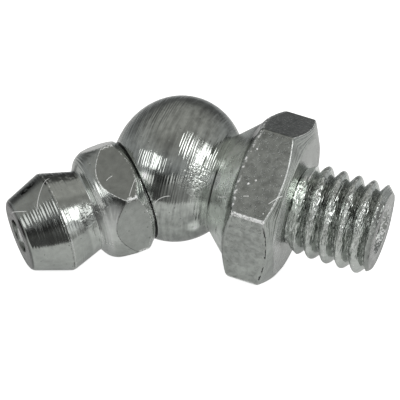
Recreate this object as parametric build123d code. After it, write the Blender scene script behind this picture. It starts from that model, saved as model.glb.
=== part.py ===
from build123d import *
import os
from math import acos, cos, degrees, pi, radians, sin, sqrt, tan

# An elbow grease nipple of zinc-plated steel. A turned and milled fitting has a threaded stud, a
# hexagon and a ball, and the ball carries a screwed-in nozzle head at 45 degrees to the stud. The
# head holds a sprung check ball. Lengths are millimetres and angles degrees.
#
# Every piece is first built in the fitting's own frame: the stud points along +X, the hexagon's seat
# face is at X = 0 and the head leaves the ball towards -X and -Y. At the end the whole fitting is laid
# down as it comes to rest. Places along the stud count from the seat face, and places along the head
# from where its axis crosses the stud's.

# Stud with a right-hand metric thread
thread_d = 5.92
thread_pitch = 1.0
thread_depth = 0.61
thread_length = 5.65
thread_first_crest = 0.22
thread_end_chamfer = 0.45
thread_runout = 1.0
thread_root_land = 0.04
thread_ridge_share = 0.94
thread_ridge_strips = 6
stud_bore_d = 2.3
stud_bore_mouth_d = 3.0
drill_point_angle = 59.0

# Hexagon behind the seat face
hex_af = 9.9
hex_turn = 48.0
hex_length = 3.4
hex_chamfer = 27.0
hex_seat_face_d = 8.7
hex_back_face_d = 9.0
hex_corner_round = 0.35
seat_relief_gap = 0.05
seat_relief_depth = 0.05

# Ball, a little flat along the stud, and the ring where it meets the conical waist
ball_d = 9.38
ball_length = 8.44
ball_to_seat = 8.0
waist_d = 6.3

# Axis of the head: its angle from the stud's line, and how far it crosses ahead of the ball's centre
elbow_angle = 45.0
elbow_offset = 0.6

# Screwed joint of the head in the ball
spot_face_place = 3.28
socket_d = 4.5
socket_depth = 2.8
shank_length = 2.5
shank_chamfer = 0.3
joint_gap = 0.03

# Nozzle head, from its collar to its tip
head_af = 7.0
head_turn = 23.5
head_collar_d = 5.2
head_collar_height = 0.17
head_rim_d = 6.6
head_rim_chamfer = 46.0
head_corner_place = 5.02
head_shoulder_d = 6.76
head_shoulder_place = 6.02
neck_d = 5.2
neck_place = 6.87
neck_round = 0.1
ridge_d = 6.5
ridge_place = 9.04
ridge_round = 0.25
tip_d = 4.6
tip_place = 11.55
tip_round = 0.4

# Check valve in the head
inlet_d = 2.15
inlet_rim_round = 0.08
check_ball_d = 2.6
check_ball_below_tip = 0.06
seat_half_angle = 30.0
seat_gap = 0.01
chamber_d = 2.8
lip_d = 1.7
lip_length = 0.45
spring_d = 2.3
spring_wire_d = 0.28
spring_wire_sides = 8
spring_coils = 9
spring_gap = 0.02

# Turns about the stud and then about the level cross axis, which lay the fitting on its support points
lie_roll = 40.56
lie_pitch = 9.65

crossing_place = elbow_offset - ball_to_seat
shank_end = spot_face_place - shank_length
check_ball_place = tip_place - check_ball_below_tip - check_ball_d / 2
elbow_cos = cos(radians(elbow_angle))
elbow_sin = sin(radians(elbow_angle))
stud_frame = Plane(origin=(0, 0, 0), x_dir=(0, 1, 0), z_dir=(1, 0, 0))
head_frame = Plane(
    origin=(crossing_place, 0, 0),
    x_dir=(elbow_sin, -elbow_cos, 0),
    z_dir=(-elbow_cos, -elbow_sin, 0),
)


def half_section(*lines):
    """A face in the XZ plane inside a closed outline of (radius, place) corners or of curves in order."""
    if isinstance(lines[0], tuple):
        return make_face(Plane.XZ * Polyline(*lines, close=True))
    return make_face(Plane.XZ * (Curve() + list(lines)))


def spun(face):
    """The solid that a half section makes when it turns about the Z axis."""
    return revolve(face, Axis.Z)


def drilled(radius, bottom, top):
    """A drill's hole from top down to bottom, with the cone of the drill's point below it."""
    point = radius / tan(radians(drill_point_angle))
    return spun(half_section((0, bottom - point), (radius, bottom), (radius, top), (0, top)))


def hex_milled(solid, across_flats, turn, low, high):
    """The solid with six flats milled between low and high, one of them facing the angle turn from X."""
    section = RegularPolygon(across_flats / 2, 6, major_radius=False, rotation=turn - 30)
    section = fillet(section.vertices(), hex_corner_round)
    waste = Circle(across_flats) - section
    return solid - extrude(Plane.XY.offset(low) * waste, high - low)


def helical(section, pitch, length):
    """The solid that a section of (radius, place) corners sweeps along a right-hand helix about Z."""
    edges = [Helix(pitch, length, radius, center=(0, 0, place)).edge() for radius, place in section]
    pairs = list(zip(edges, edges[1:] + edges[:1]))
    sides = [Face.make_surface_from_curves(a, b) for a, b in pairs]
    ends = [Face(Wire([Edge.make_line(a @ k, b @ k) for a, b in pairs])) for k in (0, 1)]
    return Solid(Shell(sides + ends))


def thread():
    """The stud: a core with a helical ridge of cosine section, trimmed at its run-out and end chamfer."""
    crest = thread_d / 2
    core = crest - thread_depth + thread_root_land
    half_width = thread_ridge_share * thread_pitch / 2
    ridge = []
    for strip in range(thread_ridge_strips + 1):
        z = half_width * (2 * strip / thread_ridge_strips - 1)
        drop = thread_depth * (1 - cos(pi * z / thread_pitch))
        ridge.append((crest - drop, thread_first_crest - thread_pitch + z))
    buried = Cylinder(core, thread_pitch + thread_length, align=(Align.CENTER, Align.CENTER, Align.MIN))
    turns_length = thread_length + 2 * thread_pitch
    shaft = Pos(0, 0, -thread_pitch) * buried + helical(ridge, thread_pitch, turns_length)
    foot = core + thread_root_land
    clear = 2 * crest - foot
    trimmed = half_section(
        (0, -thread_pitch),
        (thread_d, -thread_pitch),
        (foot, 0),
        (clear, 2 * thread_runout),
        (clear, thread_length - thread_end_chamfer - (clear - crest)),
        (crest - thread_end_chamfer, thread_length),
        (0, thread_length),
    )
    return shaft & spun(trimmed)


def fitting_body():
    """Ball, waist, hexagon and stud in one piece, drilled from the stud's end and from the spot face."""
    ball = EllipticalCenterArc(
        center=(0, -ball_to_seat),
        x_radius=ball_d / 2,
        y_radius=ball_length / 2,
        start_angle=-90,
        arc_size=90 + degrees(acos(waist_d / ball_d)),
    )
    corner = hex_af / sqrt(3)
    slope = tan(radians(hex_chamfer))
    front = Polyline(
        ball @ 1,
        (hex_back_face_d / 2, -hex_length),
        (corner, -hex_length + (corner - hex_back_face_d / 2) * slope),
        (corner, -(corner - hex_seat_face_d / 2) * slope),
        (hex_seat_face_d / 2, 0),
        (0, 0),
        ball @ 0,
    )
    body = hex_milled(spun(half_section(ball, front)), hex_af, hex_turn, -hex_length, 0)
    relief = thread_d / 2 + seat_relief_gap
    body -= spun(half_section((0, -seat_relief_depth), (relief, -seat_relief_depth), (relief, 0), (0, 0)))
    body += thread()
    bore = stud_bore_d / 2
    mouth = stud_bore_mouth_d / 2
    mouth_low = thread_length - (mouth - bore)
    body -= drilled(bore, crossing_place, thread_length)
    body -= spun(half_section((0, mouth_low), (bore, mouth_low), (mouth, thread_length), (0, thread_length)))
    socket = drilled(socket_d / 2, spot_face_place - socket_depth, spot_face_place)
    spot = Cylinder(ball_d / 2, ball_d, align=(Align.CENTER, Align.CENTER, Align.MIN))
    spot = Pos(0, 0, spot_face_place) * spot
    return stud_frame * body - head_frame * (socket + spot)


def nipple_head():
    """Nozzle head in one piece on the spot face, with the valve chamber open from its lip to its tip."""
    shank = socket_d / 2 - joint_gap
    corner = head_af / sqrt(3)
    rim_place = spot_face_place + head_collar_height
    rim_slope = tan(radians(head_rim_chamfer))
    shoulder = ThreePointArc(
        (corner, head_corner_place), (head_shoulder_d / 2, head_shoulder_place), (neck_d / 2, neck_place)
    )
    back = Polyline(
        (0, shank_end),
        (shank - shank_chamfer, shank_end),
        (shank, shank_end + shank_chamfer),
        (shank, spot_face_place),
        (head_collar_d / 2, spot_face_place),
        (head_collar_d / 2, rim_place),
        (head_rim_d / 2, rim_place),
        (corner, rim_place + (corner - head_rim_d / 2) * rim_slope),
        shoulder @ 0,
    )
    ridge, tip = (ridge_d / 2, ridge_place), (tip_d / 2, tip_place)
    front = Polyline(shoulder @ 1, ridge, tip, (0, tip_place), (0, shank_end))
    section = half_section(back, shoulder, front)
    for diameter, place, rounding in (
        (neck_d, neck_place, neck_round),
        (ridge_d, ridge_place, ridge_round),
        (tip_d, tip_place, tip_round),
    ):
        section = fillet(section.vertices().sort_by_distance((diameter / 2, 0, place))[0], rounding)
    head = hex_milled(spun(section), head_af, head_turn, rim_place, neck_place)
    seat_radius = check_ball_d / 2 + seat_gap
    touch = seat_radius * cos(radians(seat_half_angle))
    touch_place = check_ball_place + seat_radius * sin(radians(seat_half_angle))
    rise = 1 / tan(radians(seat_half_angle))
    head -= spun(half_section(
        (0, shank_end),
        (lip_d / 2, shank_end),
        (lip_d / 2, shank_end + lip_length),
        (chamber_d / 2, shank_end + lip_length),
        (chamber_d / 2, touch_place - (chamber_d / 2 - touch) * rise),
        (inlet_d / 2, touch_place + (touch - inlet_d / 2) * rise),
        (inlet_d / 2, tip_place),
        (0, tip_place),
    ))
    inlet_rim = head.edges().filter_by(GeomType.CIRCLE).group_by(Axis.Z)[-1].sort_by(SortBy.RADIUS)[0]
    return head_frame * fillet(inlet_rim, inlet_rim_round)


def check_ball():
    """Hardened ball that closes the inlet from behind."""
    return head_frame * Pos(0, 0, check_ball_place) * Sphere(check_ball_d / 2)


def check_spring():
    """Compression spring between the rolled lip of the shank and the check ball."""
    wire = spring_wire_d / 2
    mean = spring_d / 2 - wire
    low = shank_end + lip_length + spring_gap + wire
    high = check_ball_place - sqrt((check_ball_d / 2 + spring_gap + wire) ** 2 - mean**2)
    angles = [2 * pi * side / spring_wire_sides for side in range(spring_wire_sides)]
    section = [(mean + wire * cos(a), low + wire * sin(a)) for a in angles]
    return head_frame * helical(section, (high - low) / spring_coils, high - low)


pieces = {
    "fitting_body": fitting_body(),
    "nipple_head": nipple_head(),
    "check_ball": check_ball(),
    "check_spring": check_spring(),
}
laid = {name: Rot(0, lie_pitch, 0) * Rot(lie_roll, 0, 0) * piece for name, piece in pieces.items()}
box = Compound(list(laid.values())).bounding_box()
origin = Vector(box.center().X, box.center().Y, box.min.Z)
os.makedirs("parts", exist_ok=True)
for name, piece in laid.items():
    export_step(Pos(-origin) * piece, f"parts/{name}.step")
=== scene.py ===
from math import acos, cos, pi, radians, sin, sqrt, tan

import bpy
import numpy as np
from mathutils import Euler, Matrix, Quaternion, Vector


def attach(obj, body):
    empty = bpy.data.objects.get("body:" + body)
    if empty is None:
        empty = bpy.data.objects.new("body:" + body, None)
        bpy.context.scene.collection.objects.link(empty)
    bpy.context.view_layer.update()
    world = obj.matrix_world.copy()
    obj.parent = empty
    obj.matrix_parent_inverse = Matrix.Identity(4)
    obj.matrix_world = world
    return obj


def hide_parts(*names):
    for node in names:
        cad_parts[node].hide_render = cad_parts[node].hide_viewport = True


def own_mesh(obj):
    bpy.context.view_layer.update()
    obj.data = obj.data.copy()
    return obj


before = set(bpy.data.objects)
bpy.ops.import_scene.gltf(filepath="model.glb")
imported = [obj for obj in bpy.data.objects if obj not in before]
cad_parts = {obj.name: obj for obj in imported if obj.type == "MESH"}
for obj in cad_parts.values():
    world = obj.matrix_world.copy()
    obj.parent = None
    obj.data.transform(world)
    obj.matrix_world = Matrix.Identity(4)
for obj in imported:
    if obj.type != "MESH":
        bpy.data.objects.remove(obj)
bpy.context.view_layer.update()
scene = bpy.context.scene


# ---------------------------------------------------------------------------
# Fitting: ball, conical waist, hexagon and threaded stud, turned from one hexagon bar of free-cutting
# steel and zinc plated. The lathe leaves rings on the ball, the thread is cut last, and the plating
# dulls to a soft grey and wears bright on the corners.

# Lengths are millimetres. The stud points along +X of the fitting's own frame, with the seat face at 0.
MM = 0.001
SEAT_CENTRE = (5.80875, 1.21840, 4.84646)
LIE_ROLL, LIE_PITCH = 40.56, 9.65
BALL_RADIUS, BALL_HALF_LENGTH, BALL_PLACE = 4.69, 4.22, -8.0
WAIST_RADIUS, WAIST_PLACE = 3.15, -4.87
HEX_FLATS, HEX_TURN, HEX_LENGTH, HEX_CHAMFER = 9.9, 48.0, 3.4, 27.0
HEX_BACK_RADIUS, HEX_SEAT_RADIUS = 4.5, 4.35
CORNER_ROUND, CORNER_SPREAD = 0.35, 2.4
THREAD_RADIUS, THREAD_PITCH, THREAD_DEPTH, THREAD_LENGTH = 2.96, 1.0, 0.61, 5.65
THREAD_FIRST_CREST, THREAD_ROOT_LAND, THREAD_RUNOUT, THREAD_END_CHAMFER = 0.22, 0.04, 1.0, 0.45
BORE_RADIUS, MOUTH_RADIUS, BORE_END, DRILL_ANGLE = 1.15, 1.5, -7.4, 59.0

# Places in the socket and on its clearance count along the head's axis, from where it crosses the stud's.
ELBOW_ANGLE, CROSSING_PLACE = 45.0, -7.4
SPOT_PLACE, SPOT_RADIUS, SOCKET_RADIUS, SOCKET_DEPTH = 3.28, 3.03, 2.25, 2.8
CLEARANCE_ANGLE, CLEARANCE_RADIUS = 46.0, 5.2

# Columns and rows of the meshes, the steps of a bend, and the angle past which an edge is shaded sharp
FITTING_COLUMNS, CORNER_COLUMNS, BALL_ROWS, THREAD_ROWS, SOCKET_COLUMNS = 252, 9, 84, 157, 128
BEND_STEPS = (0.25, 0.5, 0.75, 1)
SHARP_ANGLE = 32


def hexagon_angles(turn, count):
    """Angles round a hexagon, in radians. In each sixth a few lie within CORNER_SPREAD degrees of the
    corner, which is rounded, and the others are spread evenly."""
    crowded = np.linspace(-CORNER_SPREAD, CORNER_SPREAD, CORNER_COLUMNS)
    others = np.linspace(CORNER_SPREAD, 60 - CORNER_SPREAD, count // 6 - CORNER_COLUMNS + 2)[1:-1]
    sixth = np.concatenate([crowded, others]) + turn + 30
    return np.radians((sixth[None, :] + 60 * np.arange(6)[:, None]).ravel())


def hexagon_radius(angles, flats, turn):
    """Radius of a hexagon at each angle: half the flats over the cosine of the angle from the nearest
    flat's middle, and near a corner the far root of the circle that rounds it."""
    fold = np.abs((angles - radians(turn) + pi / 6) % (pi / 3) - pi / 6)
    flat = flats / 2 / np.cos(fold)
    centre = (flats / 2 - CORNER_ROUND) / cos(pi / 6)
    off = pi / 6 - fold
    inside = np.clip(CORNER_ROUND**2 - (centre * np.sin(off)) ** 2, 0, None)
    rounded = centre * np.cos(off) + np.sqrt(inside)
    tangent = np.arctan(np.tan(pi / 6) * (1 - 2 * CORNER_ROUND / flats))
    return np.where(fold > tangent, rounded, flat)


def profile(*corners):
    """Rows of (place, radius) along a polyline. Each corner gives its place and radius, which may differ
    round the piece, then its bend and the steps of the straight that leads to it. A bend is a parabola
    between two tangent points, which lie that far from the corner."""
    width = max(np.size(v) for corner in corners for v in corner[:2])
    points = [np.stack([np.broadcast_to(np.asarray(v, float), width) for v in c[:2]]) for c in corners]
    rows, last = [points[0]], points[0]
    for k in range(1, len(corners)):
        end, (bend, steps) = points[k], corners[k][2:]
        curve = []
        if bend:
            back, ahead = points[k - 1] - end, points[k + 1] - end
            before = end + back * bend / np.hypot(*back)
            after = end + ahead * bend / np.hypot(*ahead)
            curve = [before * (1 - t) ** 2 + end * 2 * t * (1 - t) + after * t**2 for t in BEND_STEPS]
            end = before
        rows += [last + (end - last) * t for t in np.linspace(0, 1, steps + 1)[1:]] + curve
        last = rows[-1]
    return rows


def new_piece(name, points, faces, origin, turned):
    """Object whose mesh has its points, in millimetres, turned and moved to their place on the fitting."""
    points = (np.array(turned) @ points.T).T + np.array(origin)
    mesh = bpy.data.meshes.new(name)
    mesh.from_pydata((points * MM).tolist(), [], faces)
    mesh.shade_smooth()
    piece = bpy.data.objects.new(name, mesh)
    scene.collection.objects.link(piece)
    return piece


def lathe(name, rows, angles, origin, turned, capped):
    """Piece of rings about an axis, the points (place, radius cos a, radius sin a). Each row gives a
    ring's place and radius at every angle a. Capped ends close on a point of the axis, and uncapped
    ones join the last ring to the first."""
    place, radius = np.stack([row[0] for row in rows]), np.stack([row[1] for row in rows])
    ends = np.array([[place[0, 0], 0, 0], [place[-1, 0], 0, 0]])
    if capped:
        place, radius = place[1:-1], radius[1:-1]
    count, columns = place.shape
    points = np.stack([place, radius * np.cos(angles), radius * np.sin(angles)], -1).reshape(-1, 3)
    row = np.arange(count - 1 if capped else count)[:, None] * columns
    column = np.arange(columns)[None, :]
    ahead = (column + 1) % columns
    above = (row + columns) % (count * columns)
    faces = np.stack([row + column, above + column, above + ahead, row + ahead], -1).reshape(-1, 4).tolist()
    if capped:
        low, high = np.arange(columns), (count - 1) * columns + np.arange(columns)
        first, final = np.full(columns, len(points)), np.full(columns, len(points) + 1)
        faces += np.stack([first, low, np.roll(low, -1)], -1).tolist()
        faces += np.stack([final, np.roll(high, -1), high], -1).tolist()
        points = np.concatenate([points, ends])
    piece = new_piece(name, points, faces, origin, turned)
    # A map holds the length along the profile, in millimetres, and the share of a turn round the axis
    steps = [np.hypot(*(b - a)).mean() for a, b in zip(rows, rows[1:])]
    length = np.concatenate([[0], np.cumsum(steps)])
    corner = np.array([v for face in faces for v in face])
    on_ring = corner < count * columns
    at_end = np.where(corner == count * columns, 0, len(rows) - 1)
    along = length[np.where(on_ring, corner // columns + capped, at_end)]
    share = np.where(on_ring, corner % columns, 0) / columns
    piece.data.uv_layers.new(name="lathe").data.foreach_set("uv", np.stack([along, share], -1).ravel())
    return piece


lie = Euler((radians(LIE_ROLL), radians(LIE_PITCH), 0)).to_matrix()
angles = hexagon_angles(HEX_TURN, FITTING_COLUMNS)
bar = hexagon_radius(angles, HEX_FLATS, HEX_TURN)
ones = np.ones_like(angles)
hex_slope = tan(radians(HEX_CHAMFER))
drill_point = 1 / tan(radians(DRILL_ANGLE))

# Ball, from its pole to the ring where the waist starts
ball_turn = np.linspace(-pi / 2, acos(WAIST_RADIUS / BALL_RADIUS), BALL_ROWS)
rows = [
    ones * np.array([[BALL_PLACE + BALL_HALF_LENGTH * sin(t)], [BALL_RADIUS * cos(t)]]) for t in ball_turn
]

# Waist, hexagon, seat face and the step down to the thread's core
core = THREAD_RADIUS - THREAD_DEPTH + THREAD_ROOT_LAND
rows += profile(
    rows[-1],
    (-HEX_LENGTH, HEX_BACK_RADIUS, 0.1, 14),
    (-HEX_LENGTH + (bar - HEX_BACK_RADIUS) * hex_slope, bar, 0.3, 6),
    (-(bar - HEX_SEAT_RADIUS) * hex_slope, bar, 0.12, 18),
    (0, HEX_SEAT_RADIUS, 0.12, 6),
    (0, THREAD_RADIUS, 0.02, 10),
    (THREAD_ROOT_LAND, core, 0, 4),
)[1:]

# Thread: a helical ridge of cosine section, cut down by the cones of its run-out and of its end's chamfer
place = np.linspace(THREAD_ROOT_LAND, THREAD_LENGTH, THREAD_ROWS + 1)[1:, None]
from_crest = (place - THREAD_FIRST_CREST - angles / (2 * pi) * THREAD_PITCH + 0.5) % THREAD_PITCH - 0.5
ridge = THREAD_RADIUS - THREAD_DEPTH * (1 - np.cos(pi * from_crest / THREAD_PITCH))
run_out = core + THREAD_ROOT_LAND + (THREAD_RADIUS - core) * place / THREAD_RUNOUT
end_chamfer = THREAD_RADIUS - THREAD_END_CHAMFER + THREAD_LENGTH - place
thread = np.minimum(np.maximum(ridge, core), np.minimum(np.maximum(run_out, core), end_chamfer))
rows += [np.stack([ones * at, radius]) for at, radius in zip(place[:, 0], thread)]

# End face, mouth and bore, down to the drill's point
rows += profile(
    (THREAD_LENGTH, rows[-1][1]),
    (THREAD_LENGTH, MOUTH_RADIUS, 0.04, 6),
    (THREAD_LENGTH - (MOUTH_RADIUS - BORE_RADIUS), BORE_RADIUS, 0.03, 5),
    (BORE_END, BORE_RADIUS, 0, 30),
    (BORE_END - BORE_RADIUS * drill_point, 0, 0, 5),
)[1:]
fitting = lathe("turned_fitting", rows, angles, SEAT_CENTRE, lie, True)

# Socket for the head, its spot face and the conical clearance that lets the head's rim down to it. They
# are bored along the head's axis, so a cutter of their shape takes them out.
elbow_sin, elbow_cos = sin(radians(ELBOW_ANGLE)), cos(radians(ELBOW_ANGLE))
head_turned = lie @ Matrix(((-elbow_sin, elbow_sin, 0), (-elbow_cos, -elbow_cos, 0), (0, 0, 1)))
head_origin = Vector(SEAT_CENTRE) + lie @ Vector((CROSSING_PLACE, 0, 0))
socket_bottom = SPOT_PLACE - SOCKET_DEPTH
clearance_slope = tan(radians(CLEARANCE_ANGLE))
clearance_top = SPOT_PLACE + (CLEARANCE_RADIUS - SPOT_RADIUS) * clearance_slope
cutter_angles = np.linspace(0, 2 * pi, SOCKET_COLUMNS, endpoint=False)
cutter_rows = profile(
    (socket_bottom - SOCKET_RADIUS * drill_point, cutter_angles * 0),
    (socket_bottom, SOCKET_RADIUS, 0, 1),
    (SPOT_PLACE, SOCKET_RADIUS, 0, 1),
    (SPOT_PLACE, SPOT_RADIUS, 0, 1),
    (clearance_top, CLEARANCE_RADIUS, 0, 1),
    (clearance_top, 0, 0, 1),
)
cutter = lathe("cutter", cutter_rows, cutter_angles, head_origin, head_turned, True)
boring = fitting.modifiers.new("socket", "BOOLEAN")
boring.object, boring.operation, boring.solver = cutter, "DIFFERENCE", "EXACT"
bored = bpy.data.meshes.new_from_object(fitting.evaluated_get(bpy.context.evaluated_depsgraph_get()))
fitting.modifiers.clear()
fitting.data = bored
bored.set_sharp_from_angle(angle=radians(SHARP_ANGLE))
bpy.data.objects.remove(cutter)


class Signal:
    """A shader socket in a node tree. Arithmetic on it adds Math nodes, and make adds any other node."""

    def __init__(self, tree, socket=None):
        self.tree, self.socket = tree, socket

    def make(self, kind, settings, values, output=0):
        """A new node's output. The node's settings come first, then the values or links of its sockets."""
        node = self.tree.nodes.new(kind)
        for key, value in settings.items():
            setattr(node, key, value)
        for key, value in values.items():
            if isinstance(value, Signal):
                self.tree.links.new(value.socket, node.inputs[key])
            else:
                node.inputs[key].default_value = value
        return Signal(self.tree, node.outputs[output])

    def output(self, key):
        """Another output of the same node."""
        return Signal(self.tree, self.socket.node.outputs[key])

    def feed(self, node, key):
        """Links the socket to an input of a node."""
        self.tree.links.new(self.socket, node.inputs[key])

    def math(self, operation, *values):
        """Result of a Math node."""
        return self.make("ShaderNodeMath", {"operation": operation}, dict(enumerate(values)))

    def vector_math(self, operation, other, output=0):
        """Vector, or with output 1 the value, of a Vector Math node."""
        return self.make("ShaderNodeVectorMath", {"operation": operation}, {0: self, 1: other}, output)

    def __add__(self, other):
        return self.math("ADD", self, other)

    def __sub__(self, other):
        return self.math("SUBTRACT", self, other)

    def __rsub__(self, other):
        return self.math("SUBTRACT", other, self)

    def __mul__(self, other):
        return self.math("MULTIPLY", self, other)

    def __pow__(self, other):
        return self.math("POWER", self, other)

    def __abs__(self):
        return self.math("ABSOLUTE", self)

    __radd__, __rmul__ = __add__, __mul__


def noise(place, scale, detail=2.0, roughness=0.5, distortion=0.0):
    """Noise between 0 and 1 over a place, with so many features to each of its units."""
    values = {
        "Vector": place,
        "Scale": scale,
        "Detail": detail,
        "Roughness": roughness,
        "Distortion": distortion,
    }
    return place.make("ShaderNodeTexNoise", {}, values)


def ramp(value, low, high, start=0.0, end=1.0):
    """Smooth step of a value from start, at low, to end, at high. It falls where low is above high."""
    values = {"Value": value, "From Min": low, "From Max": high, "To Min": start, "To Max": end}
    return value.make("ShaderNodeMapRange", {"interpolation_type": "SMOOTHSTEP"}, values)


def band(value, rise, fall):
    """Mask that rises from 0 to 1 over one pair of values and falls back to 0 over another."""
    return ramp(value, *rise) * ramp(value, *fall[::-1])


def near(value, at, core, reach):
    """Mask that is 1 within a core on both sides of a value and 0 past its reach."""
    return ramp(abs(value - at), reach, core)


def joined(x, y, z):
    """Vector of three values."""
    return x.make("ShaderNodeCombineXYZ", {}, {0: x, 1: y, 2: z})


def colour(red, green, blue):
    """Colour of three values."""
    return red.make("ShaderNodeCombineColor", {}, {0: red, 1: green, 2: blue})


def blob(place, centre, size, edge):
    """Mask that is 1 inside an ellipsoid and falls to 0 outside it, over twice a share of its size."""
    away = place.vector_math("SUBTRACT", centre).vector_math("DIVIDE", size)
    return ramp(away.vector_math("LENGTH", (0, 0, 0), 1), 1 + edge, 1 - edge)


def patches(place, table):
    """Sum of blobs. Each row has a centre, the half sizes, the share of the edge and the strength."""
    return sum(blob(place, centre, size, edge) * strength for centre, size, edge, strength in table)


# The plating's grey and the bright metal under it, linear, and what every plated surface has: the depth
# of its clouds and pits, in millimetres, and its roughness, with the share that each layer adds.
PLATED, BARE, EDGE_TINT = (0.387, 0.406, 0.386, 1), (0.95, 0.96, 0.95, 1), (0.8, 0.8, 0.8, 1)
CLOUD_HEIGHT, GRAIN_HEIGHT, PIT_DEPTH, PIT_SHADE = 0.004, 0.0015, 0.012, 0.4
ROUGHNESS, MOTTLE_ROUGHNESS, CLOUD_ROUGHNESS, SHADE_AND_DIRT_ROUGHNESS, WEAR_AND_HIGHLIGHT_ROUGHNESS = 0.17, 0.12, 0.12, 0.3, 0.14


class Plating:
    """Zinc-plated steel in the frame of a turned piece: x along its axis, y and z across it. Places, radii
    and gaps are millimetres, and turning is radians round the axis from y. A mask is 1 in its region
    and 0 outside it. close hands the layers to the shader."""

    def __init__(self, name, origin, turned, flats, flats_turn):
        self.material = bpy.data.materials.new(name)
        self.material.use_nodes = True
        root = Signal(self.material.node_tree)
        own_frame = {"Location": Vector(origin) * MM, "Rotation": turned.to_euler(), "Scale": (MM, MM, MM)}
        own_frame["Vector"] = root.make("ShaderNodeTexCoord", {}, {}, "Object")
        self.place = root.make("ShaderNodeMapping", {"vector_type": "TEXTURE"}, own_frame)
        self.x = root.make("ShaderNodeSeparateXYZ", {}, {"Vector": self.place})
        self.y, self.z = self.x.output(1), self.x.output(2)
        self.radius = (self.y * self.y + self.z * self.z) ** 0.5
        self.turning = root.math("ARCTAN2", self.z, self.y)
        lathe_map = root.make("ShaderNodeUVMap", {"uv_map": "lathe"}, {})
        self.along = root.make("ShaderNodeSeparateXYZ", {}, {"Vector": lathe_map})
        # How far a point lies inside the plane of its nearest flat, and inside the next one
        fold = root.math("PINGPONG", self.turning - radians(flats_turn), pi / 6)
        self.flat_gap = flats / 2 - self.radius * root.math("COSINE", fold)
        self.next_gap = flats / 2 - self.radius * root.math("COSINE", pi / 3 - fold)
        self.mottle = noise(self.place, 0.7, 3.0, distortion=0.6) - 0.5
        self.cloud = noise(self.place, 2.6, 3.0, distortion=0.4) - 0.5
        self.grain = noise(self.place, 14.0)
        self.ragged = ramp(noise(self.place, 7.0, 3.0), 0.4, 0.6)
        self.speckle = ramp(noise(self.place, 8.0), 0.5, 0.62)
        gap, chance = self.cells(2.6, 0)
        self.pits = ramp(gap, 0.17, 0.06) * ramp(chance, 0.55, 0.75)

    def cells(self, scale, channel):
        """Distance from the nearest of scattered points, and a random number that each point has."""
        values = {"Vector": self.place, "Scale": scale}
        gap = self.place.make("ShaderNodeTexVoronoi", {"feature": "F1"}, values)
        return gap, gap.make("ShaderNodeSeparateColor", {}, {0: gap.output("Color")}, channel)

    def drawn(self, along, across, scale, detail=2.0, roughness=0.5):
        """Noise drawn out round the axis, with its own scale along the profile and across the axis."""
        place = joined(self.along * along, self.y * across, self.z * across)
        return noise(place, scale, detail, roughness)

    def marks(self, feed, depth):
        """Height of lathe marks: streaks where the tool tore the steel, and the waves of its feed, a sine
        of the length along the profile that wanders a little and is deeper in some places."""
        streaks = self.drawn(1 / feed, 0.4, 0.8)
        waves = self.along.math("SINE", self.along * (2 * pi / feed) + self.drawn(1.3, 0.25, 1.0) * 9.0)
        deep = ramp(self.drawn(0.8, 0.3, 1.0), 0.38, 0.62, 0.25, 1.0)
        return streaks * (depth * 7) + waves * deep * depth

    def scratches(self, lines):
        """Mask of hair-thin scratches. Each one is where a sphere cuts the surface: the sphere's centre and
        radius, then the scratch's middle, its half length and its half width."""
        mask = 0.0
        for centre, radius, middle, reach, width in lines:
            on_sphere = near(self.place.vector_math("DISTANCE", centre, 1), radius, width * 0.4, width)
            mask = mask + on_sphere * ramp(self.place.vector_math("DISTANCE", middle, 1), reach, reach * 0.8)
        return mask

    def close(self, height, tone, variation, painted_shade_and_dirt, worn_and_painted_highlight, roughness):
        """Links the layers and gives the material: the height in millimetres, a factor on the plating's
        grey that carries painted highlights and shade, with its variation, painted shade and dirt, where
        the plating is worn bright or has painted highlights, and more roughness."""
        height = height + self.cloud * CLOUD_HEIGHT - self.pits * PIT_DEPTH
        bump = height.make("ShaderNodeBump", {}, {"Height": height, "Distance": MM, "Strength": 1.0})
        # Painted shade and dirt darken the grey, and the worn places and painted highlights mix in bright
        # bare metal
        shade = tone * (1.0 + variation) * (1 - painted_shade_and_dirt) * (1 - self.pits * PIT_SHADE)
        multiply = {"data_type": "RGBA", "blend_type": "MULTIPLY"}
        shaded = {0: 1.0, 6: PLATED, 7: colour(shade, shade, shade)}
        bright = {0: worn_and_painted_highlight, 6: shade.make("ShaderNodeMix", multiply, shaded, 2), 7: BARE}
        base = shade.make("ShaderNodeMix", {"data_type": "RGBA", "clamp_factor": True}, bright, 2)
        roughness = roughness + ROUGHNESS + self.mottle * MOTTLE_ROUGHNESS + self.cloud * CLOUD_ROUGHNESS
        roughness = roughness + painted_shade_and_dirt * SHADE_AND_DIRT_ROUGHNESS + worn_and_painted_highlight * WEAR_AND_HIGHLIGHT_ROUGHNESS
        shader = self.material.node_tree.nodes["Principled BSDF"]
        shader.inputs["Specular Tint"].default_value = EDGE_TINT
        base.feed(shader, "Base Color")
        (1 - worn_and_painted_highlight).feed(shader, "Metallic")
        roughness.feed(shader, "Roughness")
        bump.feed(shader, "Normal")
        return self.material


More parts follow.
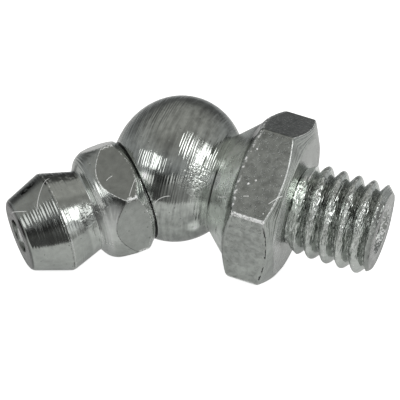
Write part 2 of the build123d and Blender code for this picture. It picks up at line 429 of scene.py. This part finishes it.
# Painted highlights and painted shade on the fitting's plating: centre, half sizes, share of the edge,
# change of tone
FITTING_LIGHT_AND_SHADE = [
    ((-8.7, -3.3, 3.2), (0.55, 0.5, 0.6), 0.5, 1.2),  # painted highlight on the ball beside the joint
    ((-8.0, -1.2, 4.3), (0.55, 0.7, 0.6), 0.5, -0.35),  # painted shade high on the ball's front, between its highlights
    ((-5.4, -2.6, 2.6), (0.6, 1.6, 1.3), 0.5, 0.55),  # painted highlight on the ball beside the waist
    ((-5.5, -3.8, 0.15), (0.32, 0.5, 0.5), 0.6, 1.1),  # painted glint low on the ball
    ((-4.65, -1.75, 2.75), (0.22, 0.5, 0.5), 0.5, 1.2),  # painted glare on the waist beside the crease
]
FITTING_SCRATCHES = [
    ((-6.80, -4.31, 1.74), 1.164, (-7.56, -3.92, 2.52), 0.65, 0.03),
    ((-6.57, 7.39, 8.72), 12.0, (-3.94, -2.77, 2.90), 0.50, 0.03),
    ((1.36, -13.87, 0.70), 12.0, (-2.26, -2.98, 4.24), 0.19, 0.03),
    ((-9.21, 3.45, 6.33), 10.858, (-0.43, -2.62, 4.35), 0.62, 0.03),
]
BALL_FEED, BALL_MARKS, DEEP_MARKS = 0.17, 0.0040, 0.0060


def fitting_plating():
    """Plating of the fitting: lathe marks, a rippled ball, dinged flats, a torn thread, painted shade in the
    joint and the crease, and painted highlights and shade region by region.
    """
    zinc = Plating("zinc_plating", SEAT_CENTRE, lie, HEX_FLATS, HEX_TURN)
    x, y, z = zinc.x, zinc.y, zinc.z
    upper_side = ramp(z, 0.0, 1.0)

    # Regions along the stud
    on_ball = ramp(x, WAIST_PLACE + 0.07, WAIST_PLACE - 0.08)
    on_waist = band(x, (-5.0, -4.8), (-3.4, -3.25))
    on_flat = ramp(zinc.flat_gap, 0.03, 0.01) * band(x, (-3.5, -3.4), (-0.05, 0.0))
    on_thread = ramp(x, 0.0, 0.1)
    end_face = ramp(x, 5.2, 5.5)
    seat_side = ramp(x, -0.9, -0.6) * (1 - on_thread)
    middle_flats = on_flat * band(y, (-4.6, -4.0), (1.1, 1.3))
    # The top flat, which gets painted shade
    top_flat_shade = on_flat * ramp(y, 1.25, 1.6)
    low_corner = ramp(zinc.next_gap, 0.15, 0.1) * ramp(y, -2.4, -3.2) * band(x, (-3.3, -3.1), (-0.3, -0.1))
    above_low_flat = ramp(y, -4.45, -4.15)

    # Rims of the hexagon, where its chamfers meet its flats, and the corner of the seat face below
    wavy = zinc.cloud * ramp(y, -4.0, -4.4) * 0.5
    seat_rim = near(x + (zinc.radius - HEX_SEAT_RADIUS) * hex_slope + wavy, 0.0, 0.02, 0.08)
    seat_rim = seat_rim * ramp(zinc.flat_gap, 0.06, 0.02)
    back_rim = near(x + HEX_LENGTH - (zinc.radius - HEX_BACK_RADIUS) * hex_slope, 0.0, 0.1, 0.26)
    back_rim = back_rim * band(zinc.flat_gap, (-0.01, 0.01), (0.08, 0.16))
    seat_corner = near(x, 0.0, 0.05, 0.09) * ramp(zinc.radius, 2.9, 3.05)
    seat_corner = seat_corner * band(y, (-4.4, -4.0), (-2.2, -1.4))

    # Joint with the head: the bored surfaces get painted shade, and the edge beside them is rubbed
    along_head = (x - CROSSING_PLACE) * -elbow_cos - y * elbow_sin
    head_radius = (((x - CROSSING_PLACE) * elbow_sin - y * elbow_cos) ** 2 + z * z) ** 0.5
    bored_gap = along_head - SPOT_PLACE - (head_radius - SPOT_RADIUS) * clearance_slope
    past_socket = on_ball * ramp(along_head, 3.2, 3.26)
    joint_shade = past_socket * ramp(bored_gap, -0.05, -0.02)
    joint_edge = past_socket * band(bored_gap, (-0.25, -0.1), (-0.06, -0.02))
    joint_edge = joint_edge * band(z, (0.4, 1.0), (2.4, 2.9))

    # Height: turned rings, ripples from chatter by the waist, dings on the flats and a torn thread
    deep = blob(zinc.place, (-7.4, -1.2, 4.3), (2.6, 2.2, 1.6), 0.5)
    turned = zinc.marks(BALL_FEED, BALL_MARKS + deep * DEEP_MARKS)
    chatter = blob(zinc.place, (-5.8, -2.4, 3.3), (0.9, 0.9, 1.0), 0.5)
    ripples = noise(joined(x * 1.6, y * 6.0, z * 6.0), 1.0, distortion=0.8) * chatter
    dings = ramp(noise(zinc.place, 5.0, 3.0, 0.7), 0.56, 0.68)
    torn = zinc.drawn(3.4, 1.1, 1.0, roughness=0.55)
    front_thread = near(z, 2.2, 1.0, 1.9) * ramp(y, 1.4, 0.2)
    height = turned * (1 - on_flat * 0.75 - on_thread * 0.5 + seat_side * 0.3)
    height = height + zinc.grain * (GRAIN_HEIGHT - on_ball * 0.001) + ripples * 0.09
    height = height - dings * on_flat * (0.012 + middle_flats * 0.03)
    height = height + torn * on_thread * (0.04 + front_thread * 0.3)

    # Worn bright: rims, corners, chips on the flats, crests, the mouth of the bore and scratches, with a
    # painted highlight on the thread's run-out
    gap, chance = zinc.cells(2.7, 1)
    ragged_gap = gap + (noise(zinc.place, 9.0) - 0.5) * 0.25 + ramp(chance, 0.95, 0.45) * 0.3
    chips = ramp(ragged_gap, 0.24, 0.18)
    nicks = ramp(noise(zinc.place, 4.5, 3.0), 0.52, 0.62)
    crest = ramp(zinc.radius, 2.8, 2.95) * on_thread
    # Painted highlight on the thread's run-out, on two sides
    run_out = band(x, (0.0, 0.05), (0.5, 0.9)) * (ramp(y, -1.2, -1.8) * 0.22 + ramp(y, 0.3, 1.0) * 0.2)
    mouth = ramp(zinc.radius, 2.0, 1.7) * ramp(x, 4.7, 5.0)
    rims = (seat_rim * (0.25 + zinc.ragged * 0.7) + back_rim * nicks) * above_low_flat
    flats = chips * middle_flats + ramp(dings, 0.6, 1.0) * on_flat * 0.08
    worn_and_painted_highlight = low_corner * (0.6 + zinc.ragged) + rims + flats + run_out + seat_corner * 0.35
    worn_and_painted_highlight = worn_and_painted_highlight + (crest * 0.4 + mouth * 0.7 + joint_edge * 0.8) * zinc.speckle
    worn_and_painted_highlight = worn_and_painted_highlight + zinc.scratches(FITTING_SCRATCHES) * 0.9

    # Painted shade in the crease between ball and waist, the thread's root, the joint and the bore; a dark
    # line along the lowest rim
    front_crease = band(y, (-3.1, -2.6), (-1.3, -0.8)) * ramp(z, 0.0, 0.8)
    crease_shade = near(x, WAIST_PLACE, 0.02, 0.09) * ramp(zinc.radius, 3.3, 3.2) * (0.25 + front_crease * 0.75)
    # Painted shade in the thread's root
    root = ramp(zinc.radius, 2.72, 2.42) * on_thread * ramp(zinc.cloud, -0.05, 0.1)
    bore_shade = ramp(zinc.radius, 1.62, 1.45) * ramp(x, 3.0, 4.0)
    low_rim = seat_rim * (1 - above_low_flat) * ramp(zinc.cloud, -0.12, 0.0)
    painted_shade_and_dirt = crease_shade * 0.85 + root * 0.2 + joint_shade * 0.95 + bore_shade * 0.1 + low_rim * 0.9

    # Painted highlights and painted shade, region by region: the waist, the seat side and the thread
    # painted lighter, most of all behind and at its start, a painted fan of light on the seat face, the
    # ball's underside a little lighter, and the flats, the top flat, the end face, the chamfers, the
    # thread's top and the ball's side painted darker
    front_waist_light = ramp(y, 2.4, 1.5) * ramp(z, -3.0, -2.0)
    thread_top_shade = near(y, -0.6, 0.3, 1.0) * upper_side * on_thread
    thread_back_light = ramp(y, 0.2, 0.8) * ramp(z, -0.5, 0.5) * on_thread
    thread_start_light = band(x, (0.02, 0.1), (0.6, 1.0)) * ramp(z, -0.5, 0.5)
    fan_highlight = near(y + zinc.radius * 0.22, 0.0, 0.3, 1.9) * band(x, (-0.35, -0.06), (0.3, 0.8)) * upper_side
    seat_chamfer_shade = band(x, (-0.95, -0.75), (-0.1, 0.0)) * near(y, -0.4, 1.0, 2.0) * upper_side
    back_chamfer_shade = near(x, -HEX_LENGTH + 0.1, 0.2, 0.35) * ramp(y, 0.3, 0.9)
    ball_below_light = ramp(y, -3.2, -4.0) * ramp(z, 1.9, 1.4) * on_ball
    ball_shade = near(x, -6.0, 0.3, 0.6) * ramp(y, -2.0, -2.6) * on_ball
    tone = 1.0 + on_waist * (0.4 + front_waist_light * 0.85) - on_flat * 0.12 - top_flat_shade * 0.2 - end_face * 0.6
    tone = tone + seat_side * 0.1 - (back_chamfer_shade * 0.95 + seat_chamfer_shade * 0.25) * (1 - on_flat)
    tone = tone + on_thread * 0.37 - thread_top_shade * 0.25 + thread_back_light * 0.45 + thread_start_light * 0.6 + fan_highlight * 0.75
    tone = tone + ball_below_light * 0.05 - ball_shade * 0.1 + patches(zinc.place, FITTING_LIGHT_AND_SHADE)

    streaks = zinc.drawn(3.2, 0.5, 1.0, 3.0, 0.6) - 0.5
    variation = zinc.mottle * 0.5 + zinc.cloud * (0.7 + on_flat * 0.45) + streaks * on_ball * 1.5
    smoother = on_thread * front_thread * 0.05 + deep * 0.05 + on_ball * 0.04
    rougher = on_waist * 0.12 + seat_side * 0.05
    return zinc.close(height, tone, variation, painted_shade_and_dirt, worn_and_painted_highlight, rougher - smoother)


fitting.data.materials.append(fitting_plating())
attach(fitting, "fitting")
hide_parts("fitting_body")


# ---------------------------------------------------------------------------
# Nozzle head: hexagon, neck, the ridge that a coupler grips, and the cone with the inlet. It is turned
# from 7 mm hexagon bar, zinc plated, and screwed into the ball, where the gap has painted shade.

HEAD_FLATS, HEAD_TURN = 7.0, 23.5
SHANK_RADIUS, SHANK_LENGTH, SHANK_CHAMFER = 2.22, 2.5, 0.3
COLLAR_RADIUS, COLLAR_HEIGHT = 2.6, 0.17
RIM_RADIUS, RIM_CHAMFER = 3.08, 46.0
SHOULDER_PLACE, SHOULDER_RADIUS, SHOULDER_END = 5.02, 3.29, 6.5
NECK_RADIUS, NECK_PLACE = 2.6, 6.92
RIDGE_RADIUS, RIDGE_PLACE = 3.25, 9.04
TIP_RADIUS, TIP_PLACE = 2.3, 11.55
INLET_RADIUS, INLET_ROUND = 1.075, 0.08
VALVE_RADIUS, VALVE_BELOW_TIP, SEAT_GAP, SEAT_ANGLE = 1.3, 0.06, 0.01, 30.0
CHAMBER_RADIUS, LIP_RADIUS, LIP_LENGTH = 1.4, 0.85, 0.45
HEAD_COLUMNS = 228
HEAD_FEED, HEAD_MARKS = 0.2, 0.0062

# As the fitting's painted patches and scratches, with x along the head from where its axis crosses the
# stud's; the patches here are painted shade
HEAD_PAINTED_SHADE = [
    ((7.45, 1.75, 2.1), (0.5, 0.8, 0.8), 0.3, -0.46),  # painted shade between neck and ridge
    ((8.05, 1.95, 1.95), (0.4, 0.7, 0.7), 0.3, -0.3),  # painted shade nearer the ridge
]
HEAD_SCRATCHES = [
    ((4.13, 4.21, 6.38), 8.094, (9.63, -0.64, 2.96), 1.35, 0.03),
    ((14.7, 8.23, -3.21), 10.695, (11.52, -0.46, 2.15), 1.0, 0.03),
    ((-2.44, 7.49, 2.67), 9.003, (4.38, 1.65, 3.34), 0.74, 0.025),
    ((5.03, 1.72, 3.33), 1.28, (5.44, 0.52, 3.47), 0.28, 0.025),
]

angles = hexagon_angles(HEAD_TURN, HEAD_COLUMNS)
bar = hexagon_radius(angles, HEAD_FLATS, HEAD_TURN)
corner_radius = HEAD_FLATS / sqrt(3)
shoulder_slope = (SHOULDER_END - SHOULDER_PLACE) / (corner_radius - SHOULDER_RADIUS)
shank_end = SPOT_PLACE - SHANK_LENGTH
rim_place = SPOT_PLACE + COLLAR_HEIGHT
rim_slope = tan(radians(RIM_CHAMFER))
valve_place = TIP_PLACE - VALVE_BELOW_TIP - VALVE_RADIUS
seat_radius = (VALVE_RADIUS + SEAT_GAP) * cos(radians(SEAT_ANGLE))
seat_place = valve_place + (VALVE_RADIUS + SEAT_GAP) * sin(radians(SEAT_ANGLE))
seat_slope = 1 / tan(radians(SEAT_ANGLE))
rows = profile(
    (shank_end, LIP_RADIUS * np.ones_like(angles)),
    (shank_end, SHANK_RADIUS - SHANK_CHAMFER, 0, 2),
    (shank_end + SHANK_CHAMFER, SHANK_RADIUS, 0, 1),
    (SPOT_PLACE, SHANK_RADIUS, 0, 3),
    (SPOT_PLACE, COLLAR_RADIUS, 0, 1),
    (rim_place, COLLAR_RADIUS, 0, 1),
    (rim_place, RIM_RADIUS, 0.04, 1),
    (rim_place + (bar - RIM_RADIUS) * rim_slope, bar, 0.05, 6),
    (SHOULDER_PLACE + (corner_radius - bar) * shoulder_slope, bar, 0.05, 12),
    (SHOULDER_END, SHOULDER_RADIUS, 0.3, 12),
    (NECK_PLACE, NECK_RADIUS, 0.14, 8),
    (RIDGE_PLACE, RIDGE_RADIUS, 0.16, 16),
    (TIP_PLACE, TIP_RADIUS, 0.277, 20),
    (TIP_PLACE, INLET_RADIUS, INLET_ROUND, 10),
    (seat_place + (seat_radius - INLET_RADIUS) * seat_slope, INLET_RADIUS, 0, 5),
    (seat_place - (CHAMBER_RADIUS - seat_radius) * seat_slope, CHAMBER_RADIUS, 0, 4),
    (shank_end + LIP_LENGTH, CHAMBER_RADIUS, 0, 12),
    (shank_end + LIP_LENGTH, LIP_RADIUS, 0, 2),
    (shank_end, LIP_RADIUS, 0, 2),
)[:-1]
head = lathe("nozzle_head", rows, angles, head_origin, head_turned, False)
head.data.set_sharp_from_angle(angle=radians(SHARP_ANGLE))


def head_plating():
    """Plating of the head, with turned rings, a rougher shoulder with painted light, painted shade in the
    lines at the neck and the ridge and in the joint, and painted highlights and shade region by region."""
    zinc = Plating("zinc_plating_head", head_origin, head_turned, HEAD_FLATS, HEAD_TURN)
    x, y, z, turning = zinc.x, zinc.y, zinc.z, zinc.turning

    # Regions along the head and round it
    on_flat = ramp(zinc.flat_gap, 0.03, 0.01) * ramp(x, 3.4, 3.6)
    on_cone = ramp(x, 6.7, 6.9)
    tip_face = ramp(x, 11.42, 11.5)
    off_flat = 1 - on_flat
    rim_chamfer = band(x, (3.44, 3.5), (4.3, 4.6)) * off_flat
    # The shoulder, rougher and painted lighter
    matte_shoulder_light = blob(zinc.place, (6.0, 2.4, 1.2), (0.9, 1.0, 1.9), 0.4) * off_flat
    corner = ramp(zinc.next_gap, 0.2, 0.08) * band(x, (3.5, 3.7), (5.0, 5.1))
    rim = near(x - rim_place - (zinc.radius - RIM_RADIUS) * rim_slope, 0.0, 0.02, 0.08)
    rim = rim * ramp(zinc.flat_gap, 0.06, 0.02)
    flat_end = band(zinc.flat_gap, (0.005, 0.02), (0.02, 0.05)) * ramp(x, 4.9, 5.1)
    above = ramp(z - y * 1.35, -0.1, 0.1)

    # Height: turned rings, a hammered shoulder and the grooves at the neck and the ridge
    broken = 0.15 + ramp(noise(zinc.place, 2.2), 0.42, 0.6) * 0.85
    ridge_line = near(x, RIDGE_PLACE + 0.08, 0.01, 0.06) * broken
    neck_line = near(x, NECK_PLACE, 0.02, 0.07) * near(turning, 0.75, 0.2, 0.5)
    hammered = blob(zinc.place, (7.0, 2.0, 1.9), (1.2, 0.9, 1.2), 0.4)
    hammered = noise(zinc.place, 2.6, distortion=0.6) * hammered
    height = zinc.marks(HEAD_FEED, HEAD_MARKS) * (1 - on_flat * 0.8) + zinc.grain * GRAIN_HEIGHT
    height = height - (ridge_line + neck_line) * 0.03 + hammered * 0.07

    # Worn bright: corners, rims and scratches; painted light on the shoulder and a painted glint at the neck
    neck_glint = band(x, (6.3, 6.5), (6.9, 7.0)) * ramp(turning, 1.5, 1.2)
    rubbed_rim = rim_chamfer * band(z, (0.6, 1.2), (2.4, 3.0)) * ramp(y, 0.0, 1.0)
    shoulder_painted_light = blob(zinc.place, (5.7, 2.5, 2.1), (0.8, 0.8, 0.8), 0.4) * off_flat
    ridge_edge = near(x, RIDGE_PLACE - 0.04, 0.01, 0.05)
    worn_and_painted_highlight = corner * zinc.ragged * 0.9 + flat_end * above * (0.3 + zinc.ragged * 0.6)
    worn_and_painted_highlight = worn_and_painted_highlight + rim * zinc.speckle * 0.5 + rubbed_rim * (0.12 + zinc.speckle * 0.4)
    worn_and_painted_highlight = worn_and_painted_highlight + ridge_edge * zinc.ragged * 0.6 + matte_shoulder_light * 0.12 + shoulder_painted_light * 0.25 + neck_glint * 0.26
    worn_and_painted_highlight = worn_and_painted_highlight + zinc.scratches(HEAD_SCRATCHES) * 0.8

    # Painted shade in the two lines and the joint with the ball; a darker band along the top and darker
    # lower ends of the flats
    top_dark_band = band(turning, (1.78, 1.95), (2.15, 2.3)) * band(x, (6.9, 7.1), (9.1, 9.3))
    joint_shade = ramp(x, rim_place + 0.025, rim_place + 0.005)
    painted_shade_and_dirt = ridge_line * 0.55 + neck_line * 0.6 + flat_end * (1 - above) * (0.35 + zinc.ragged * 0.5)
    painted_shade_and_dirt = painted_shade_and_dirt + top_dark_band * ramp(zinc.cloud, -0.08, 0.02) * 0.7 + joint_shade * 0.95

    # Painted highlights and painted shade, region by region: the rim chamfer, the shoulder with a painted
    # glint, and bands between neck and ridge painted lighter; the tip face, the cone, the flats and a patch
    # near the top painted darker, with a painted dark reflection on the cone
    patchy = ramp(noise(zinc.place, 3.5, 3.0), 0.36, 0.56)
    cone_dark_reflection = blob(zinc.place, (10.3, -1.6, 2.28), (1.2, 0.3, 0.3), 0.35) * patchy
    painted_dark_patch = blob(zinc.place, (7.8, -1.9, 2.2), (1.5, 0.35, 0.45), 0.4) * ramp(zinc.cloud, -0.1, 0.05)
    shoulder_glint = blob(zinc.place, (6.3, 1.9, 2.5), (0.55, 0.8, 0.7), 0.5) * off_flat
    cone_shade = band(turning, (0.8, 1.0), (1.4, 1.55)) * ramp(x, 9.1, 9.3) * 0.33
    cone_shade = cone_shade + ramp(turning, 1.9, 2.1) * ramp(x, 9.0, 9.3) * 0.35
    cone_shade = cone_shade + ramp(turning, 0.85, 1.15) * on_cone * 0.12
    flat_shade = ramp(turning, 1.0, 0.8) * 0.16 + ramp(z, 2.6, 3.0) * 0.2
    painted_light_top = near(turning, 1.68, 0.2, 0.33) * band(x, (6.6, 6.8), (8.9, 9.1))
    painted_light_low = near(x, 7.3, 0.3, 0.5) * ramp(turning, 0.75, 0.6)
    tone = 1.0 + rim_chamfer * 0.7 + matte_shoulder_light * 0.35 + shoulder_glint * 0.2 + (painted_light_top + painted_light_low) * 0.35
    tone = tone - tip_face * 0.6 - cone_dark_reflection * 0.65 - painted_dark_patch * 0.7 - cone_shade - on_flat * flat_shade
    tone = tone + patches(zinc.place, HEAD_PAINTED_SHADE)

    variation = zinc.mottle * 0.4 + zinc.cloud * 0.5
    return zinc.close(height, tone, variation, painted_shade_and_dirt, worn_and_painted_highlight, matte_shoulder_light * 0.2)


head.data.materials.append(head_plating())
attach(head, "fitting")
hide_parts("nipple_head")


# ---------------------------------------------------------------------------
# Check ball: closes the inlet from behind, on a conical seat. It is hardened steel, ground and polished,
# so only faint spots dull it. Its surface is the frame's own, and it lies loose in the head's chamber.

SPOT_SCALE, SPOT_SHADE, SPOT_ROUGHNESS = 2600.0, 0.5, 0.15
FINE_SCALE, FINE_HEIGHT = 9000.0, 0.000008
GREEN_TINT = 1.01


def steel(name, tone, roughness):
    """Bare steel of a tone, with faint spots and a very fine relief."""
    material = bpy.data.materials.new(name)
    material.use_nodes = True
    place = Signal(material.node_tree).make("ShaderNodeTexCoord", {}, {}, "Object")
    spots = noise(place, SPOT_SCALE, 3.0) - 0.5
    relief = {"Height": noise(place, FINE_SCALE), "Distance": FINE_HEIGHT, "Strength": 1.0}
    level = (1 + spots * SPOT_SHADE) * tone
    shader = material.node_tree.nodes["Principled BSDF"]
    shader.inputs["Metallic"].default_value = 1.0
    colour(level, level * GREEN_TINT, level).feed(shader, "Base Color")
    (roughness + spots * SPOT_ROUGHNESS).feed(shader, "Roughness")
    place.make("ShaderNodeBump", {}, relief).feed(shader, "Normal")
    return material


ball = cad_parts["check_ball"]
ball.data.materials.clear()
ball.data.materials.append(steel("check_ball_steel", 0.6, 0.3))


# ---------------------------------------------------------------------------
# Spring: a coil of hard-drawn steel wire between the rolled lip of the shank and the check ball, which
# it presses on the seat.

SPRING_RADIUS, WIRE_RADIUS, SPRING_COILS, SPRING_GAP, BALL_LIFT = 1.01, 0.14, 9, 0.02, 1.0
COIL_STEPS, WIRE_SIDES, SPRING_SHARP_ANGLE = 28, 12, 50


def coil(name, low, high, origin, turned):
    """Piece of wire round a right-hand helix (p t / 2 pi, r cos t, r sin t), with a flat face at either
    end. Each of its sections is a circle across the helix."""
    t = np.linspace(0, 2 * pi * SPRING_COILS, SPRING_COILS * COIL_STEPS + 1)[:, None]
    rise = (high - low) / SPRING_COILS / (2 * pi)
    zero = np.zeros_like(t)
    middle = np.hstack([low + rise * t, SPRING_RADIUS * np.cos(t), SPRING_RADIUS * np.sin(t)])
    outward = np.hstack([zero, np.cos(t), np.sin(t)])
    ahead = np.hstack([zero + rise, -SPRING_RADIUS * np.sin(t), SPRING_RADIUS * np.cos(t)])
    ahead /= np.linalg.norm(ahead, axis=1)[:, None]
    beside = np.cross(ahead, outward)
    round_wire = np.linspace(0, 2 * pi, WIRE_SIDES, endpoint=False)[None, :, None]
    section = np.cos(round_wire) * outward[:, None] + np.sin(round_wire) * beside[:, None]
    points = (middle[:, None] + WIRE_RADIUS * section).reshape(-1, 3)
    row = np.arange(len(t) - 1)[:, None] * WIRE_SIDES
    side = np.arange(WIRE_SIDES)[None, :]
    next_side = (side + 1) % WIRE_SIDES
    faces = [row + side, row + next_side, row + WIRE_SIDES + next_side, row + WIRE_SIDES + side]
    faces = np.stack(faces, -1).reshape(-1, 4).tolist()
    faces += [list(range(WIRE_SIDES))[::-1], list(range(len(points) - WIRE_SIDES, len(points)))]
    return new_piece(name, points, faces, origin, turned)


spring_low = shank_end + LIP_LENGTH + SPRING_GAP + WIRE_RADIUS
spring_high = valve_place - sqrt((VALVE_RADIUS + SPRING_GAP + WIRE_RADIUS) ** 2 - SPRING_RADIUS**2)
spring_length = spring_high - spring_low + 2 * WIRE_RADIUS
head_axis = head_turned @ Vector((1, 0, 0))
spring_foot = (head_origin + head_axis * (spring_low - WIRE_RADIUS)) * MM
spring = coil("coil_spring", spring_low, spring_high, head_origin, head_turned)
spring.data.set_sharp_from_angle(angle=radians(SPRING_SHARP_ANGLE))
spring.data.materials.append(steel("check_spring_steel", 0.5, 0.28))
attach(spring, "fitting")
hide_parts("check_spring")
1 - BALL_LIFT / spring_length
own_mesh(spring)


# ---------------------------------------------------------------------------
# Floor: a wide sheet of white paper that the fitting lies on. It glows to the camera, so that it shows
# as plain white round a faint shadow, and glows less in the metal's reflections.

FLOOR_SIZE, FLOOR_WHITE, FLOOR_GLOW, GLOW_IN_METAL = 3.0, (0.8, 0.8, 0.8, 1), 0.85, 0.353

bpy.ops.mesh.primitive_plane_add(size=FLOOR_SIZE)
floor = bpy.context.object
floor.name = "floor"
paper = bpy.data.materials.new("floor")
paper.use_nodes = True
paper.node_tree.nodes.remove(paper.node_tree.nodes["Principled BSDF"])
camera_ray = Signal(paper.node_tree).make("ShaderNodeLightPath", {}, {}, "Is Camera Ray")
seen = camera_ray + camera_ray.output("Is Glossy Ray") * GLOW_IN_METAL
glow = seen.math("MAXIMUM", seen, camera_ray.output("Is Transmission Ray")) * FLOOR_GLOW
white = glow.make("ShaderNodeBsdfDiffuse", {}, {"Color": FLOOR_WHITE})
light = glow.make("ShaderNodeEmission", {}, {"Color": colour(glow, glow, glow)})
sheet = glow.make("ShaderNodeAddShader", {}, {0: white, 1: light})
sheet.feed(paper.node_tree.nodes["Material Output"], "Surface")
floor.data.materials.append(paper)


# ---------------------------------------------------------------------------
# World: an even white room, darker behind the fitting on the left and low in front of it. Its light is
# a little cooler near the ground and warmer above.

ROOM_LIGHT, DARK_BEHIND, DARK_FRONT, GROUND_SHADE = 0.47, 0.30, 0.3, 0.8
LOW_TINT, HIGH_TINT = (0.985, 1.0, 1.015, 1), (1.015, 1.0, 0.96, 1)

world = bpy.data.worlds.new("world")
scene.world = world
world.use_nodes = True
toward = Signal(world.node_tree).make("ShaderNodeTexCoord", {}, {}, "Generated")
east = toward.make("ShaderNodeSeparateXYZ", {}, {"Vector": toward})
north, up = east.output(1), east.output(2)
behind = band(up, (0.1, 0.3), (0.5, 0.85)) * ramp(north, 0.1, 0.5) * ramp(east, 0.6, 0.1)
in_front = ramp(up, 0.35, 0.0) * ramp(north, -0.6, -0.95)
level = ROOM_LIGHT - behind * DARK_BEHIND - in_front * DARK_FRONT
level = level * ramp(up, -0.1, 0.0, GROUND_SHADE, 1.0)
tinted = {0: ramp(up, 0.2, 0.9), 6: LOW_TINT, 7: HIGH_TINT}
tint = up.make("ShaderNodeMix", {"data_type": "RGBA"}, tinted, 2)
shaded = {0: 1.0, 6: tint, 7: colour(level, level, level)}
room = up.make("ShaderNodeMix", {"data_type": "RGBA", "blend_type": "MULTIPLY"}, shaded, 2)
room.feed(world.node_tree.nodes["Background"], "Color")


# ---------------------------------------------------------------------------
# Lamps: soft boxes above on the right and on the left, which draw the bright streaks along the turned
# steel, and a faint one low on the right for the hexagon and the thread.

# Each lamp has a name, its azimuth and elevation, its width and height in metres, and its radiance.
LAMP_DISTANCE, LAMP_AIM = 0.3, (0, 0, 0.005)
LAMPS = [
    ("right", -20, 32, 0.17, 0.13, 4.0),
    ("left", -125, 20, 0.15, 0.115, 2.6),
    ("right_low", -5, 8, 0.2, 0.08, 0.8),
]


def direction(azimuth, elevation):
    """Unit vector (cos e cos a, cos e sin a, sin e) of an azimuth a and an elevation e, in degrees."""
    a, e = radians(azimuth), radians(elevation)
    return Vector((cos(e) * cos(a), cos(e) * sin(a), sin(e)))


for name, azimuth, elevation, width, height, radiance in LAMPS:
    light = bpy.data.lights.new(name, "AREA")
    light.shape, light.size, light.size_y = "RECTANGLE", width, height
    light.energy = radiance * pi * width * height
    lamp = bpy.data.objects.new(name, light)
    scene.collection.objects.link(lamp)
    towards_lamp = direction(azimuth, elevation)
    lamp.location = towards_lamp * LAMP_DISTANCE + Vector(LAMP_AIM)
    lamp.rotation_euler = towards_lamp.to_track_quat("Z", "Y").to_euler()


# ---------------------------------------------------------------------------
# Dark card: painted card flat on the floor in front of the fitting, with its outer edge folded up. Only
# the metal reflects it, which darkens the undersides, and it is paler towards the thread.

CARD_HEIGHT, CARD_FOLD, CARD_ROUGHNESS = 0.3, 9, 0.9
CARD_FADE, CARD_DARK, CARD_PALE = 0.007, 0.11, 0.6
CARD_INNER_EDGE = [
    (-13, -10.3),
    (-7, -8.7),
    (-3, -9.4),
    (1.1, -8.2),
    (5.3, -6.5),
    (8.5, -3.6),
    (15, -8.0),
    (22, -16),
]
CARD_OUTER_EDGE = [(6, -34), (-18, -34)]

card_points = [(x, y, CARD_HEIGHT) for x, y in CARD_INNER_EDGE + CARD_OUTER_EDGE]
card_points += [(x, y, CARD_FOLD) for x, y in CARD_OUTER_EDGE]
flat_face, folded_face = list(range(10)), (8, 10, 11, 9)
card_mesh = bpy.data.meshes.new("dark_card")
card_mesh.from_pydata((np.array(card_points) * MM).tolist(), [], [flat_face, folded_face])
card = bpy.data.objects.new("dark_card", card_mesh)
scene.collection.objects.link(card)
card_paint = bpy.data.materials.new("card")
card_paint.use_nodes = True
shader = card_paint.node_tree.nodes["Principled BSDF"]
shader.inputs["Roughness"].default_value = CARD_ROUGHNESS
place = Signal(card_paint.node_tree).make("ShaderNodeTexCoord", {}, {}, "Object")
east = place.make("ShaderNodeSeparateXYZ", {}, {"Vector": place})
shade = ramp(east, -CARD_FADE, CARD_FADE, CARD_DARK, CARD_PALE)
colour(shade, shade, shade).feed(shader, "Base Color")
card.data.materials.append(card_paint)
card.visible_camera = False
card.visible_diffuse = False
card.visible_shadow = False


# ---------------------------------------------------------------------------
# Camera: a long lens in front of the fitting and a little above it, which leans slightly to one side.
# Its aim and distance are millimetres.

AIM, DISTANCE = (-0.1193, -0.2343, 4.7593), 200.21
AZIMUTH, ELEVATION, ROLL = -74.41, 16.10, 3.415
LENS, SENSOR, CLIP_START, CLIP_END = 286.1, 36.0, 0.01, 10.0

back = direction(AZIMUTH, ELEVATION)
camera = bpy.data.objects.new("camera", bpy.data.cameras.new("camera"))
scene.collection.objects.link(camera)
camera.data.lens, camera.data.sensor_width = LENS, SENSOR
camera.data.clip_start, camera.data.clip_end = CLIP_START, CLIP_END
camera.location = (Vector(AIM) + back * DISTANCE) * MM
camera.rotation_euler = (back.to_track_quat("Z", "Y") @ Quaternion((0, 0, 1), radians(ROLL))).to_euler()
scene.camera = camera
scene.view_settings.view_transform = "Standard"
